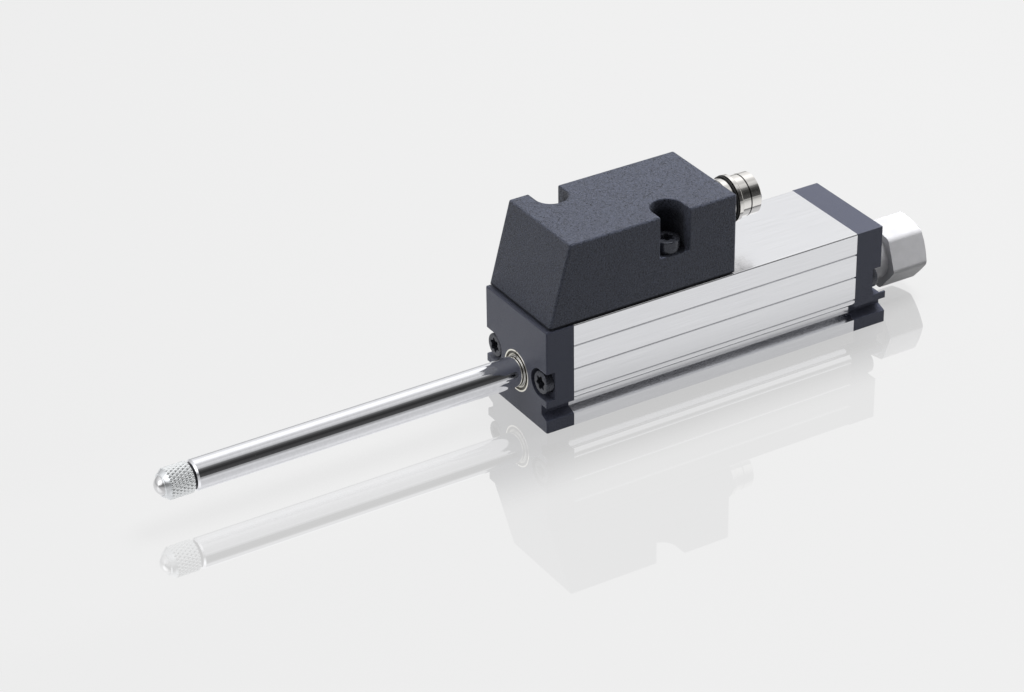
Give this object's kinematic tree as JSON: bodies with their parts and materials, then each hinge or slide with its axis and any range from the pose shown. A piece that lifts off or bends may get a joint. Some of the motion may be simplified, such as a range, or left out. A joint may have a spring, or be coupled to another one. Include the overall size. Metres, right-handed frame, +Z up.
{
  "type": "linear potentiometer",
  "caption": "Spring-return linear potentiometer: square extruded housing, push rod with knurled ball tip, slanted connector hood, black end caps and hexagonal rear plug.",
  "frame": {"origin": "middle of the housing's flat underside, halfway between the outer faces of the two end caps", "axes": "+X along the push rod, from its tip towards the rear plug, the way the rod is pushed in; +Z up, from the underside to the hood; +Y to the left when looking along +X"},
  "size_m": [0.1395, 0.018, 0.032],
  "materials": {
    "anodised_profile": "satin natural anodised, with fine extrusion lines along its length",
    "cap_black": "fine-grained black",
    "black_screw": "black oxide",
    "bush_metal": "pale plain bearing, satin",
    "soft_rubber": "matt",
    "polished_rod": "ground and polished",
    "spring_steel": "drawn",
    "knurled_steel": "diamond knurled, bright",
    "ball_steel": "polished",
    "guide_steel": "ground",
    "plug_grey": "pale grey, smooth moulded",
    "carriage_plastic": "natural white",
    "contact_metal": "bright sheet",
    "element_board": "dark laminate with printed tracks",
    "hood_plastic": "black with a moulded grain",
    "board_green": "solder resist",
    "lead_wire": "insulated wire",
    "nickel_shell": "nickel plated, turned",
    "seal_rubber": "smooth",
    "insert_plastic": "black moulded",
    "pin_gold": "gold plated"
  },
  "bodies": {
    "housing": {"housing_profile": "anodised_profile", "front_end_cap": "cap_black", "rear_end_cap": "cap_black", "front_cap_screws": "black_screw", "rear_cap_screws": "black_screw", "rod_bush": "bush_metal", "front_buffer": "soft_rubber", "return_spring": "spring_steel", "spring_guide": "guide_steel", "rear_plug": "plug_grey", "resistance_element": "element_board", "connector_hood": "hood_plastic", "hood_gasket": "soft_rubber", "hood_screws": "black_screw", "circuit_board": "board_green", "element_leads": "lead_wire", "connector_leads": "lead_wire", "connector_shell": "nickel_shell", "connector_seal": "seal_rubber", "connector_insert": "insert_plastic", "connector_pins": "pin_gold", "connector_nut": "nickel_shell"},
    "carriage": {"wiper_carriage": "carriage_plastic", "wiper_contact": "contact_metal"},
    "rod": {"push_rod": "polished_rod", "rod_rings": "spring_steel", "tip_sleeve": "knurled_steel", "tip_ball": "ball_steel"}
  },
  "joints": [
    {"name": "rod_slide", "type": "slide", "parent": "housing", "child": "carriage", "axis": [1, 0, 0], "range_m": [0, 0.03], "stiffness_N_per_m": 100, "springref_m": -0.015, "deforming": ["return_spring"]},
    {"name": "rod_spin", "type": "hinge", "parent": "carriage", "child": "rod", "pos_m": [-0.017, 0, 0.007], "axis": [1, 0, 0], "continuous": true}
  ]
}
